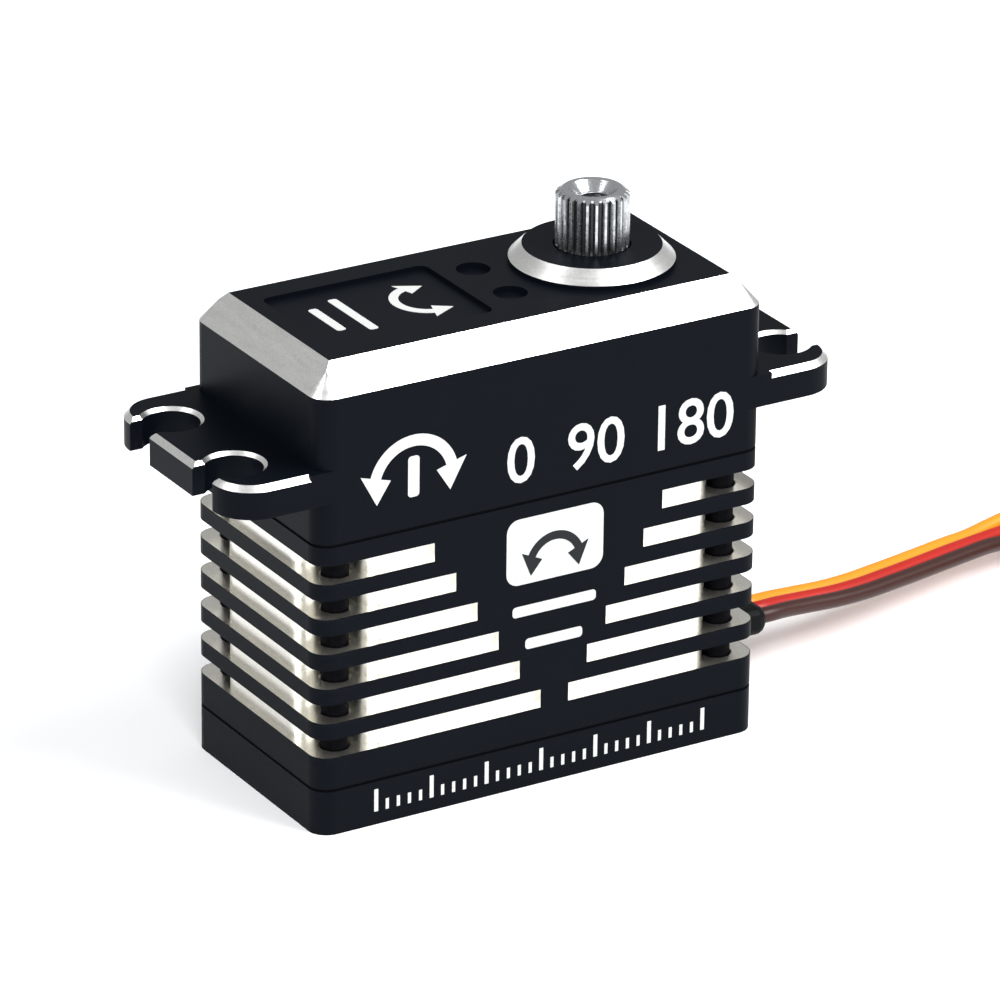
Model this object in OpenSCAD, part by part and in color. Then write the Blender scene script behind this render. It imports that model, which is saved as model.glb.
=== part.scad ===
// Full-size digital servo motor in a three-part machined case: brushless motor,
// four-stage metal gear train, splined output shaft and a three-wire lead.
// Millimetres, +Z up, +X towards the output shaft, origin at the middle of the base.

/* [Case] */
// Length of the case along X
body_l = 40.3; // [39:0.1:48]
// Width of the case along Y
body_w = 20; // [19.6:0.1:24]
// Radius of the upright corners
corner_r = 1.6; // [1.2:0.1:2]
// Height of the bottom cover
cover_h = 3.7; // [3.2:0.1:4.5]
// Height of the middle case between its two gaskets
middle_h = 20.45; // [19.5:0.05:26]
// Height of the upper case, without its boss
upper_h = 14.35; // [14:0.05:18]
// Thickness of each gasket
gasket_t = 0.25; // [0.15:0.05:0.4]
// Side wall of the upper case
wall = 1.3; // [1.1:0.1:1.6]
// How far the bright top bevel reaches in
bevel_in = 2.1; // [1.6:0.1:2.4]
// How far the bright top bevel drops
bevel_drop = 2.3; // [1.6:0.1:2.6]

/* [Cooling slots] */
// Number of slots around the middle case
slot_count = 6; // [3:1:6]
// Height of one slot
slot_h = 1.57; // [1:0.01:1.8]
// Distance from one slot to the next
slot_pitch = 2.94; // [2.7:0.01:3]
// Depth of the slots in the long and short sides
slot_depth = 0.55; // [0.3:0.05:0.7]

/* [Ears] */
// How far each ear stands out of the end of the case
ear_out = 7.35; // [7.25:0.05:9.85]
// Thickness of the ears
ear_t = 2.7; // [2:0.1:3.2]
// Height of the top of the ears above the underside of the upper case
ear_rise = 6.15; // [4.35:0.1:8.35]
// Distance of the holes from the end of the case
hole_out = 4.6; // [4.1:0.05:4.85]
// Hole spacing along Y
hole_dy = 10; // [9:0.1:11]
// Radius of the screw holes
hole_r = 2.3; // [1.9:0.05:2.4]
// Width of the open neck of each hole
neck_w = 3.15; // [2.4:0.05:3.15]

/* [Output] */
// Distance of the output shaft from the middle of the case
shaft_x = 10.15; // [9.8:0.05:10.6]
// Radius of the round boss around the shaft
boss_r = 6.6; // [6.2:0.1:7]
// Height of the boss above the case
boss_h = 1.4; // [1.2:0.1:2]
// Tip radius of the output spline
spline_r = 2.95; // [2.7:0.05:2.98]
// Number of spline teeth
spline_teeth = 25; // [20:1:30]
// Length of the spline above the boss
spline_l = 4.6; // [3:0.1:6]
// Minor radius of the thread in the shaft
horn_hole_r = 1.25; // [1:0.05:1.4]

/* [Motor and gears] */
// Radius of the motor can
motor_r = 7.6; // [6.5:0.1:7.6]
// Length of the motor
motor_l = 14.4; // [12:0.1:15]
// X position of the two gear pins
pin_x = 1; // [0.6:0.1:1.4]
// Distance of each gear pin from the middle plane
pin_y = 2.82; // [2.7:0.01:3]
// Radius of the gear pins
pin_r = 0.75; // [0.6:0.05:0.8]

/* [Lead] */
// Diameter of one insulated wire
wire_d = 1.3; // [1.1:0.1:1.4]
// How far the grommet stands out of the case
grommet_out = 5.9; // [4:0.1:7]

/* [Hidden] */
$fn = 64;

// Levels of the case, from the base up
middle_z = cover_h + gasket_t;
deck_z = middle_z + middle_h;
upper_z = deck_z + gasket_t;
top_z = upper_z + upper_h;
boss_z = top_z + boss_h;
groove_in = 0.15;
deck_t = 2;
cover_floor = 1.5;

// Core of the middle case: a cross that leaves the four corners open for the screws
screw_x = body_l / 2 - 2.63;
screw_y = body_w / 2 - 2.12;
core_x = body_l / 2 - slot_depth;
core_y = body_w / 2 - slot_depth;
core_in_x = body_l / 2 - 4.25;
core_in_y = body_w / 2 - 3.7;
core_r = 1.7;
core_wall = 1.1;
slot_z = middle_z + 2.65;
land_left = -0.1;
land_left_step = 1.95;
land_right = 2.42;
land_right_step = 1.68;

// Case screws
screw_r = 1.1;
screw_gap = 0.15;
screw_head_r = 1.9;
screw_head_h = 1.8;
screw_sink = 0.3;
screw_reach = 8.4;
screw_land_r = 2.3;
hex_r = 0.85;
hex_depth = 1;

// Recesses of the top face
label_x = [-16.6, -1.9];
label_y = 5.5;
label_r = 0.8;
label_depth = 0.35;
dimple_r = 1.37;
dimple_depth = 0.5;
chamber_top = top_z - 1.8;
chamber_r = 0.8;

// Ears
ear_span = body_l + 2 * ear_out;
ear_top = upper_z + ear_rise;
hole_dx = body_l + 2 * hole_out;
ear_corner_r = 3.2;
ear_chamfer = 0.45;
ear_relief = 0.65;
rim_chamfer = 0.28;
neck_chamfer_l = 1.2;

// Output shaft and its bearings
boss_bevel = 1.05;
bearing_in = 3;
bearing_out = 5;
bearing_h = 3;
bearing_race = 0.55;
ball_r = 0.5;
ball_count = 10;
ball_gap = 0.04;
upper_bearing_z = top_z - bearing_h;
lower_bearing_z = deck_z - bearing_h;
collar_r = 6.1;
seat_lip = 0.8;
seal_r = 4;
seal_h = 0.9;
shaft_hole_r = spline_r + 0.15;
shaft_hub_r = 3.6;
neck_r = 2.9;
spline_root = spline_r - 0.38;
spline_top_r = 2.4;
spline_chamfer = 0.4;
horn_hole_depth = 8;
horn_sink_r = 1.95;
horn_sink = 0.75;
tail_r = 1.5;

// Gear train: module from the centre distance of each pair
pressure = 25;
addendum = 0.78;
dedendum = 1;
backlash = 0.035;
running = 0.03;
pinion_z = 10;
first_wheel_z = 28;
small_z = 8;
large_wheel_z = 24;
last_pinion_z = 9;
output_z = 32;
pin_gap = 2 * pin_y;
motor_x = pin_x - 5.1;
motor_dist = norm([pin_x - motor_x, pin_y]);
output_dist = norm([shaft_x - pin_x, pin_y]);
first_m = 2 * motor_dist / (pinion_z + first_wheel_z);
mid_m = 2 * pin_gap / (small_z + large_wheel_z);
last_m = 2 * output_dist / (last_pinion_z + output_z);
// Directions from the rear pin to the motor, to the front pin and to the output shaft
to_motor = atan2(-pin_y, motor_x - pin_x);
to_front = -90;
to_output = atan2(-pin_y, shaft_x - pin_x);
// Levels of the gear train above the deck
gear_z = deck_z + 0.1;
pinion_at = gear_z + 0.5;
first_at = gear_z + 1;
first_up = first_at + 1.2;
second_at = gear_z + 3;
third_at = gear_z + 5.5;
output_at = gear_z + 7.9;
wheel_h = 1.2;
output_h = 3.2;
hub_top = chamber_top - 0.2;
pin_sink = 1.8;
pin_cap = 0.8;
hub_r = 0.97;

// Motor
motor_top = deck_z - deck_t;
motor_base = motor_top - motor_l;
bell_h = 1.4;
can_t = 0.6;
motor_axle_r = 0.8;
motor_bearing_r = 2;
motor_bearing_h = 1.4;
stator_in = 4.2;
magnet_r = 3.8;
motor_screw_r = 1;
motor_screw_y = 5.1;

// Position sensor under the output shaft
sensor_r = 5.5;
sensor_h = 6;
sensor_wall = 1;
wiper_h = 0.8;

// Circuit board and what stands on it
board_z = 5.7;
board_t = 1;
board_gap = 0.25;
board_post_r = 1.1;
chip_h = 0.8;
cap_r = 2.9;
cap_h = 12;

// Grommet, at the foot of the end wall
grommet_w = 5.2;
grommet_h = 2.4;
grommet_r = 1;
grommet_z = middle_z + grommet_h / 2;
flange_w = 6.4;
grommet_tip = body_l / 2 + grommet_out;
grommet_round = 0.5;

// Route of the lead: middle of the ribbon [x, y, z], and how far the ribbon has turned on edge
LEAD = [[26.05, 0, 5.15], [27, 0, 5.15], [28.8, 0.4, 4.95], [31.5, 0.85, 4.6], [34.5, 1.3, 4.25],
    [37.5, 1.9, 4], [40.5, 2.65, 3.85], [43.5, 3.45, 3.7], [46.5, 4.3, 3.55], [49.5, 5.15, 3.4],
    [52.5, 6, 3.2], [55.5, 6.8, 3], [58.5, 7.5, 2.8], [61.5, 8.1, 2.6], [64.5, 8.6, 2.4],
    [67.5, 9, 2.5], [70.5, 9.25, 2.45], [73.3, 9.4, 2.45], [76, 9.4, 2.45]];
LEAD_TURN = [0, 0, 0, 0, 0, 0, 0, 0, 0, 0, 0, 15, 35, 55, 75, 90, 90, 90, 90];
coil_at = [76, -3.6];
coil_out = 13;
coil_turns = 3;
turn_pitch = 1.35;
coil_in = coil_out - coil_turns * turn_pitch;
coil_z = 0.5;
coil_h = 3 * wire_d;
tie_w = 3;
// Route of the tail from the inside of the coil up and over it to the plug, where it fans out
TAIL = [[76, 5.35, 2.45], [78, 5.1, 2.45], [80, 4, 2.45], [82.6, 1, 2.45], [83.5, -2.3, 2.5],
    [83.2, -5.3, 2.8], [82, -7.8, 3.7], [80.2, -9.8, 4.7], [78.6, -11.3, 5.4],
    [76.8, -12.4, 5.7], [74.3, -12.8, 5.7], [72.4, -12.8, 5.7], [71.5, -12.8, 5.7]];
TAIL_TURN = [90, 90, 90, 90, 85, 75, 55, 35, 15, 0, 0, 0, 0];
TAIL_SPREAD = [1, 1, 1, 1, 1, 1, 1, 1, 1, 1.15, 1.7, 1.95, 1.95];
plug_l = 14;
plug_w = 7.6;
plug_h = 2.6;
plug_end = 71.5;
plug_y = -12.8;
plug_z = coil_z + coil_h;
plug_pitch = 2.54;
contact_w = 0.9;

module at_case_screws() {
    for (sx = [-1, 1], sy = [-1, 1]) translate([sx * screw_x, sy * screw_y, 0]) children();
}

module at_ear_holes() {
    for (sx = [-1, 1], sy = [-1, 1]) {
        translate([sx * hole_dx / 2, sy * hole_dy / 2, 0]) mirror([sx < 0 ? 1 : 0, 0, 0]) children();
    }
}

module box(low, high) {
    translate(low) cube(high - low);
}

module tube(r_out, r_in, h, z = 0) {
    translate([0, 0, z]) linear_extrude(h) difference() {
        circle(r_out);
        circle(r_in);
    }
}

module rod(r, h, z = 0) {
    translate([0, 0, z]) cylinder(r = r, h = h);
}

// Rectangle with true round corners, given by its half sizes
module round_rect(x, y, r) {
    square([2 * x, 2 * (y - r)], center = true);
    square([2 * (x - r), 2 * y], center = true);
    for (sx = [-1, 1], sy = [-1, 1]) translate([sx * (x - r), sy * (y - r)]) circle(r);
}

module case_2d(inset = 0) {
    round_rect(body_l / 2 - inset, body_w / 2 - inset, corner_r - inset);
}

// The cross of the core, or of the hollow inside it
module cross_2d(inset = 0) {
    r = max(core_r - inset, 0.5);
    round_rect(core_x - inset, core_in_y - inset, r);
    round_rect(core_in_x - inset, core_y - inset, r);
}

// Plan of the gear chamber: all inside the walls but the four screw lands
module chamber_2d() {
    difference() {
        round_rect(body_l / 2 - wall, body_w / 2 - wall, chamber_r);
        for (sx = [-1, 1], sy = [-1, 1]) translate([sx * screw_x, sy * screw_y]) {
            circle(screw_land_r);
            mirror([sx < 0 ? 1 : 0, 0]) mirror([0, sy < 0 ? 1 : 0]) {
                translate([-screw_land_r, 0]) square([2 * screw_land_r, screw_land_r]);
                translate([0, -screw_land_r]) square([screw_land_r, 2 * screw_land_r]);
            }
        }
    }
}

// What a bevel takes off the top edges of a block of half sizes x and y
module edge_bevel(x, y, r, z, in, drop) {
    over = 1;
    slope = in / drop;
    for (a = [0, 180]) rotate([0, 0, a]) {
        translate([0, y, z - drop]) rotate([90, 0, 90]) translate([0, 0, -x - over])
            linear_extrude(2 * (x + over))
                polygon([[0, 0], [over, 0], [over, drop + over],
                    [-in - over * slope, drop + over]]);
        translate([x, 0, z - drop]) rotate([90, 0, 180]) translate([0, 0, -y - over])
            linear_extrude(2 * (y + over))
                polygon([[0, 0], [-over, 0], [-over, drop + over],
                    [in + over * slope, drop + over]]);
    }
    for (sx = [-1, 1], sy = [-1, 1]) mirror([sx < 0 ? 1 : 0, 0, 0]) mirror([0, sy < 0 ? 1 : 0, 0])
        translate([x - r, y - r, z - drop]) difference() {
            cube([r + over, r + over, min(drop, r / slope)]);
            cylinder(r1 = r, r2 = r - min(drop, r / slope) * slope, h = min(drop, r / slope));
        }
}

// What a chamfer takes off the outer top edges of one ear (the one at +X)
module ear_edge_cuts() {
    c = ear_chamfer;
    x = ear_span / 2;
    y = body_w / 2;
    r = ear_corner_r;
    start = body_l / 2 + ear_relief;
    translate([x, 0, ear_top - c]) rotate([90, 0, 0]) translate([0, 0, -y])
        linear_extrude(2 * y) polygon([[0, 0], [c, 0], [c, 2 * c], [-c, c], [-c, 2 * c], [-c, c]]);
    for (sy = [-1, 1]) mirror([0, sy < 0 ? 1 : 0, 0]) {
        translate([start, y, ear_top - c]) rotate([90, 0, 90]) linear_extrude(x - r - start)
            polygon([[0, 0], [c, 0], [c, c], [-c, c]]);
        translate([x - r, y - r, ear_top - c]) difference() {
            cube([r + c, r + c, c]);
            cylinder(r1 = r, r2 = r - c, h = c);
        }
    }
}

// Mounting ear at +X with its two open holes and bright edges
module ear() {
    x = ear_span / 2;
    z = ear_top - ear_t;
    difference() {
        translate([0, 0, z]) linear_extrude(ear_t) intersection() {
            round_rect(x, body_w / 2, ear_corner_r);
            translate([body_l / 2 - corner_r, -body_w]) square([x, 2 * body_w]);
        }
        ear_edge_cuts();
        for (sy = [-1, 1]) translate([hole_dx / 2, sy * hole_dy / 2, 0]) {
            rod(hole_r, 3 * ear_t, z - ear_t);
            box([0, -neck_w / 2, z - 1], [x, neck_w / 2, ear_top + 1]);
            translate([0, 0, ear_top - rim_chamfer])
                cylinder(r1 = hole_r, r2 = hole_r + rim_chamfer, h = rim_chamfer);
            for (side = [-1, 1]) mirror([0, side < 0 ? 1 : 0, 0])
                translate([x - hole_dx / 2 - neck_chamfer_l, neck_w / 2, ear_top - rim_chamfer])
                    rotate([90, 0, 90]) linear_extrude(2 * neck_chamfer_l)
                        polygon([[-1, 0], [0, 0], [rim_chamfer, rim_chamfer], [-1, rim_chamfer]]);
        }
    }
}

module upper_shell() {
    difference() {
        translate([0, 0, upper_z]) linear_extrude(upper_h) case_2d();
        edge_bevel(body_l / 2, body_w / 2, corner_r, top_z, bevel_in, bevel_drop);
    }
    ear();
    mirror([1, 0, 0]) ear();
    translate([shaft_x, 0, 0]) {
        rod(boss_r, boss_h - boss_bevel, top_z);
        translate([0, 0, boss_z - boss_bevel])
            cylinder(r1 = boss_r, r2 = boss_r - boss_bevel, h = boss_bevel);
    }
}

module upper_case() {
    color("#16181c") difference() {
        upper_shell();
        difference() {
            translate([0, 0, upper_z - 1]) linear_extrude(chamber_top - upper_z + 1) chamber_2d();
            translate([shaft_x, 0, 0]) rod(collar_r, 2 * bearing_h, upper_bearing_z);
        }
        translate([shaft_x, 0, 0]) {
            rod(bearing_out, bearing_h, upper_bearing_z);
            rod(seal_r, seal_h, top_z);
            rod(shaft_hole_r, 3 * boss_h, top_z);
        }
        for (sy = [-1, 1]) translate([pin_x, sy * pin_y, 0]) {
            rod(dimple_r, 1, top_z - dimple_depth);
            rod(pin_r, pin_cap, chamber_top);
        }
        translate([(label_x[0] + label_x[1]) / 2, 0, top_z - label_depth]) linear_extrude(1)
            round_rect((label_x[1] - label_x[0]) / 2, label_y, label_r);
        at_case_screws() rod(screw_r, screw_reach + 1, upper_z - 1);
    }
}

module slot_2d(i) {
    left = land_left - i * land_left_step;
    right = land_right + i * land_right_step;
    difference() {
        square([body_l + 2, body_w + 2], center = true);
        cross_2d();
        translate([left, -body_w]) square([right - left, 2 * body_w]);
    }
}

module middle_case() {
    color("#16181c") difference() {
        translate([0, 0, middle_z]) linear_extrude(middle_h) case_2d();
        for (i = [0:slot_count - 1]) {
            translate([0, 0, slot_z + i * slot_pitch]) linear_extrude(slot_h) slot_2d(i);
        }
        difference() {
            translate([0, 0, middle_z - 1]) linear_extrude(motor_top - middle_z + 1)
                cross_2d(core_wall);
            translate([shaft_x, 0, 0])
                rod(collar_r, deck_t + bearing_h, lower_bearing_z - seat_lip);
        }
        translate([shaft_x, 0, 0]) {
            rod(bearing_out, bearing_h + 1, lower_bearing_z);
            rod(bearing_out - seat_lip, 2 * seat_lip, lower_bearing_z - 1.5 * seat_lip);
        }
        translate([motor_x, 0, 0]) {
            rod(motor_bearing_r + 0.2, 2 * deck_t, motor_top - 1);
            for (sy = [-1, 1]) translate([0, sy * motor_screw_y, 0]) {
                rod(motor_screw_r, 2 * deck_t, motor_top - 1);
                rod(1.8 * motor_screw_r, 2, deck_z - 0.9);
            }
        }
        for (sy = [-1, 1]) translate([pin_x, sy * pin_y, 0]) rod(pin_r, deck_t, deck_z - pin_sink);
        at_case_screws() rod(screw_r + screw_gap, middle_h + 2, middle_z - 1);
        translate([body_l / 2 - 3, 0, grommet_z]) rotate([90, 0, 90]) linear_extrude(6)
            grommet_2d(grommet_w);
        box([body_l / 2 - 3, -grommet_w / 2, middle_z - 1],
            [body_l / 2 + 1, grommet_w / 2, middle_z + grommet_r]);
    }
}

module bottom_cover() {
    color("#16181c") {
        difference() {
            linear_extrude(cover_h) case_2d();
            translate([0, 0, cover_floor]) linear_extrude(cover_h) cross_2d(core_wall);
            at_case_screws() {
                rod(screw_r + screw_gap, cover_h + 2, -1);
                rod(screw_head_r + screw_gap, screw_sink + screw_head_h + 1, -1);
            }
        }
        for (sx = [-1, 1], sy = [-1, 1]) {
            translate([sx * 12.5, sy * 6, 0]) rod(board_post_r, board_z - cover_floor, cover_floor);
        }
    }
}

module upper_gasket() {
    color("#050505") translate([0, 0, deck_z]) linear_extrude(gasket_t) difference() {
        case_2d(groove_in);
        chamber_2d();
        for (sx = [-1, 1], sy = [-1, 1])
            translate([sx * screw_x, sy * screw_y]) circle(screw_r + screw_gap);
    }
}

module lower_gasket() {
    color("#050505") translate([0, 0, cover_h]) linear_extrude(gasket_t) difference() {
        case_2d(groove_in);
        cross_2d(core_wall);
        for (sx = [-1, 1], sy = [-1, 1])
            translate([sx * screw_x, sy * screw_y]) circle(screw_r + screw_gap);
    }
}

module case_screws() {
    color("#101010") at_case_screws() difference() {
        union() {
            rod(screw_head_r, screw_head_h, screw_sink);
            rod(screw_r, upper_z + screw_reach - 1 - screw_sink, screw_sink);
        }
        translate([0, 0, screw_sink - 1]) cylinder(r = hex_r, h = hex_depth + 1, $fn = 6);
    }
}

// Points of a gear with involute teeth, the first tooth on +X
function inv(a) = tan(a) * 180 / PI - a;
function gear_points(z, m) =
    let (r = z * m / 2, base = r * cos(pressure), tip = r + addendum * m,
        root = r - dedendum * m, start = max(base, root + 0.02),
        half = 90 / z - backlash / r * 180 / PI + inv(pressure),
        flank = [start, (start + tip) / 2, tip],
        at = [for (q = flank) half - inv(acos(min(1, base / q)))])
    [for (i = [0:z - 1]) each let (c = 360 * i / z) [
        [root * cos(c - at[0]), root * sin(c - at[0])],
        for (k = [0:2]) [flank[k] * cos(c - at[k]), flank[k] * sin(c - at[k])],
        for (k = [2:-1:0]) [flank[k] * cos(c + at[k]), flank[k] * sin(c + at[k])],
        [root * cos(c + at[0]), root * sin(c + at[0])]]];

// Toothed wheel with one tooth, or one gap, pointing at an angle
module toothed(z, m, h, bore, at_z, points_to, gap = false) {
    translate([0, 0, at_z]) rotate([0, 0, points_to + (gap ? 180 / z : 0)])
        linear_extrude(h) difference() {
            polygon(gear_points(z, m));
            circle(bore);
        }
}

module motor_pinion() {
    color("gold") translate([motor_x, 0, 0]) {
        toothed(pinion_z, first_m, 2.4, motor_axle_r, pinion_at, to_motor + 180);
    }
}

module first_gear() {
    bore = pin_r + running;
    color("silver") translate([pin_x, pin_y, 0]) {
        tube(1.5 * hub_r, bore, first_up - 0.2 - gear_z, gear_z);
        toothed(first_wheel_z, first_m, wheel_h, bore, first_at, to_motor, true);
        toothed(small_z, mid_m, wheel_h + 2.6, bore, first_at, to_front);
    }
}

module second_gear() {
    bore = pin_r + running;
    color("silver") translate([pin_x, -pin_y, 0]) {
        tube(hub_r, bore, hub_top - gear_z, gear_z);
        toothed(large_wheel_z, mid_m, wheel_h, bore, second_at, to_front + 180, true);
        toothed(small_z, mid_m, wheel_h + 3.2, bore, second_at, to_front + 180);
    }
}

module third_gear() {
    bore = pin_r + running;
    color("silver") translate([pin_x, pin_y, 0]) {
        tube(1.3 * hub_r, bore, hub_top - third_at + 0.4, third_at - 0.4);
        toothed(large_wheel_z, mid_m, wheel_h, bore, third_at, to_front, true);
        toothed(last_pinion_z, last_m, wheel_h + 5.1, bore, third_at, to_output);
    }
}

module output_gear() {
    color("silver") translate([shaft_x, 0, 0]) {
        toothed(output_z, last_m, output_h, bearing_in, output_at, to_output + 180, true);
        tube(bearing_in + bearing_race, bearing_in, upper_bearing_z - output_at - output_h,
            output_at + output_h);
    }
}

module gear_pin() {
    rod(pin_r, chamber_top + pin_cap - deck_z + pin_sink, deck_z - pin_sink);
}

module gear_pin_rear() {
    color("lightgray") translate([pin_x, pin_y, 0]) gear_pin();
}

module gear_pin_front() {
    color("lightgray") translate([pin_x, -pin_y, 0]) gear_pin();
}

module spline_2d() {
    step = 360 / spline_teeth;
    polygon([for (i = [0:spline_teeth - 1]) each [
        for (q = [[spline_root, -0.36], [spline_r, -0.13], [spline_r, 0.13], [spline_root, 0.36]])
            q[0] * [cos((i + q[1]) * step), sin((i + q[1]) * step)]]]);
}

module output_shaft() {
    top = boss_z + spline_l;
    color("silver") translate([shaft_x, 0, 0]) difference() {
        union() {
            intersection() {
                translate([0, 0, boss_z]) linear_extrude(spline_l) spline_2d();
                union() {
                    rod(spline_r + 1, spline_l - spline_chamfer, boss_z);
                    translate([0, 0, top - spline_chamfer])
                        cylinder(r1 = spline_r + 0.05, r2 = spline_top_r, h = spline_chamfer);
                }
            }
            rod(neck_r, boss_h, top_z);
            rod(bearing_in, top_z - output_at, output_at);
            rod(shaft_hub_r, output_at - deck_z, deck_z);
            rod(bearing_in, bearing_h, lower_bearing_z);
            rod(tail_r, sensor_h - 1.6, lower_bearing_z - sensor_h + 1.6);
        }
        rod(horn_hole_r, horn_hole_depth + 1, top - horn_hole_depth);
        translate([0, 0, top - horn_sink])
            cylinder(r1 = horn_hole_r, r2 = horn_sink_r, h = horn_sink);
    }
}

module shaft_seal() {
    color("#101010") translate([shaft_x, 0, 0]) tube(seal_r, neck_r + running, seal_h, top_z);
}

// Ball bearing rings with a round groove, and the balls between them
ball_pitch = (bearing_in + bearing_out) / 2;
module bearing_groove(z) {
    translate([0, 0, z + bearing_h / 2]) rotate_extrude() translate([ball_pitch, 0])
        circle(ball_r + ball_gap);
}

module bearing_outer(z) {
    color("#c8ccd0") translate([shaft_x, 0, 0]) difference() {
        tube(bearing_out, bearing_out - bearing_race, bearing_h, z);
        bearing_groove(z);
    }
}

module bearing_inner(z) {
    color("#c8ccd0") translate([shaft_x, 0, 0]) difference() {
        tube(bearing_in + bearing_race, bearing_in, bearing_h, z);
        bearing_groove(z);
    }
}

module bearing_balls(z) {
    color("#e8e8e8") translate([shaft_x, 0, z + bearing_h / 2]) for (i = [0:ball_count - 1]) {
        rotate([0, 0, 360 * i / ball_count]) translate([ball_pitch, 0, 0]) sphere(ball_r);
    }
}

module upper_bearing_outer() { bearing_outer(upper_bearing_z); }
module upper_bearing_inner() { bearing_inner(upper_bearing_z); }
module upper_bearing_balls() { bearing_balls(upper_bearing_z); }
module lower_bearing_outer() { bearing_outer(lower_bearing_z); }
module lower_bearing_inner() { bearing_inner(lower_bearing_z); }
module lower_bearing_balls() { bearing_balls(lower_bearing_z); }

module motor_shaft() {
    color("silver") translate([motor_x, 0, 0])
        rod(motor_axle_r, pinion_at + 2.6 - motor_base - 0.3, motor_base + 0.3);
}

module motor_can() {
    color("#50545a") translate([motor_x, 0, 0])
        tube(motor_r, motor_r - can_t, motor_l - 2 * bell_h, motor_base + bell_h);
}

module motor_front_bell() {
    color("#9a9ea4") translate([motor_x, 0, 0]) difference() {
        rod(motor_r, bell_h, motor_top - bell_h);
        rod(motor_bearing_r, 2 * bell_h, motor_top - 1.5 * bell_h);
        for (sy = [-1, 1]) translate([0, sy * motor_screw_y, 0])
            rod(motor_screw_r, 2 * bell_h, motor_top - 1.5 * bell_h);
    }
}

module motor_rear_bell() {
    color("#9a9ea4") translate([motor_x, 0, 0]) difference() {
        rod(motor_r, bell_h, motor_base);
        rod(motor_bearing_r, 2 * bell_h, motor_base - 0.5 * bell_h);
        for (a = [-40, 0, 40]) rotate([0, 0, a]) translate([5, 0, 0])
            rod(0.4, 2 * bell_h, motor_base - 0.5 * bell_h);
    }
}

module motor_bearing(z) {
    color("#c8ccd0") translate([motor_x, 0, 0])
        tube(motor_bearing_r, motor_axle_r + running, motor_bearing_h, z);
}

module motor_front_bearing() { motor_bearing(motor_top - motor_bearing_h); }
module motor_rear_bearing() { motor_bearing(motor_base); }

stator_z = motor_base + bell_h + 2.6;
stator_h = motor_l - 2 * bell_h - 4.6;
module stator_core() {
    color("#606468") translate([motor_x, 0, stator_z]) linear_extrude(stator_h) {
        difference() {
            circle(motor_r - can_t);
            circle(motor_r - can_t - 0.8);
        }
        for (i = [0:5]) rotate([0, 0, 60 * i]) difference() {
            translate([stator_in, -0.7]) square([motor_r - can_t - stator_in - 0.4, 1.4]);
            circle(stator_in);
        }
    }
}

module stator_coils() {
    reach = 1.1;
    color("#b06a30") translate([motor_x, 0, stator_z]) for (i = [0:5]) rotate([0, 0, 60 * i])
        difference() {
            box([stator_in + 0.4, -1.35, -reach],
                [motor_r - can_t - 1.05, 1.35, stator_h + reach]);
            box([stator_in, -0.7, 0], [motor_r, 0.7, stator_h]);
        }
}

module rotor_magnet() {
    color("#3a3c40") translate([motor_x, 0, 0])
        tube(magnet_r, motor_axle_r, stator_h + 1, stator_z - 0.5);
}

module motor_screws() {
    color("#d0d0d0") translate([motor_x, 0, 0]) for (sy = [-1, 1])
        translate([0, sy * motor_screw_y, 0]) difference() {
            union() {
                rod(motor_screw_r, deck_t + bell_h - 0.9, motor_top - bell_h);
                rod(1.7 * motor_screw_r, 0.8, deck_z - 0.9);
            }
            rod(0.5, 1, deck_z - 0.6);
        }
}

module motor_terminals() {
    color("gold") translate([motor_x, 0, 0]) for (a = [-40, 0, 40])
        rotate([0, 0, a]) translate([5, 0, 0])
            rod(0.4, motor_base + bell_h - board_z, board_z);
}

sensor_top = lower_bearing_z - seat_lip;
module sensor_housing() {
    color("#20242a") translate([shaft_x, 0, 0]) difference() {
        rod(sensor_r, sensor_h, sensor_top - sensor_h);
        rod(sensor_r - sensor_wall, sensor_h - 2 * sensor_wall,
            sensor_top - sensor_h + sensor_wall);
        rod(2.2, 2 * sensor_wall, sensor_top - 1.5 * sensor_wall);
    }
}

module sensor_wiper() {
    color("#d8d4c8") translate([shaft_x, 0, 0])
        tube(sensor_r - sensor_wall - 0.6, tail_r, wiper_h, lower_bearing_z - sensor_h + 1.8);
}

module sensor_terminals() {
    color("gold") translate([shaft_x, 0, 0]) for (i = [-1, 0, 1]) translate([-3.5, 2 * i, 0])
        rod(0.3, sensor_top - sensor_h - board_z, board_z);
}

module board_2d() {
    intersection() {
        cross_2d(core_wall + board_gap);
        translate([-body_l / 2, -body_w / 2]) square([body_l - 3.2, body_w]);
    }
}

module main_board() {
    color("#1c5a34") difference() {
        translate([0, 0, board_z]) linear_extrude(board_t) board_2d();
        translate([motor_x, 0, 0]) for (a = [-40, 0, 40])
            rotate([0, 0, a]) translate([5, 0, 0]) rod(0.4, 2 * board_t, board_z - 0.5);
        translate([shaft_x, 0, 0]) for (i = [-1, 0, 1]) translate([-3.5, 2 * i, 0])
            rod(0.3, 2 * board_t, board_z - 0.5);
    }
}

module driver_chips() {
    color("#181818") for (i = [0:2], sy = [-1, 1])
        translate([-10.5 + 3.8 * i, sy * 6.2, board_z + board_t + chip_h / 2])
            cube([3, 3, chip_h], center = true);
}

module control_chip() {
    color("#181818") translate([9.5, 5, board_z + board_t + chip_h / 2])
        cube([5, 5, chip_h], center = true);
}

module capacitor() {
    x = -core_x + core_wall + cap_r + 0.2;
    color("#2a3a6a") translate([x, 0, board_z + board_t]) {
        rod(cap_r, cap_h);
    }
}

module grommet_2d(w) {
    round_rect(w / 2, grommet_h / 2, grommet_r);
}

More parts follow.
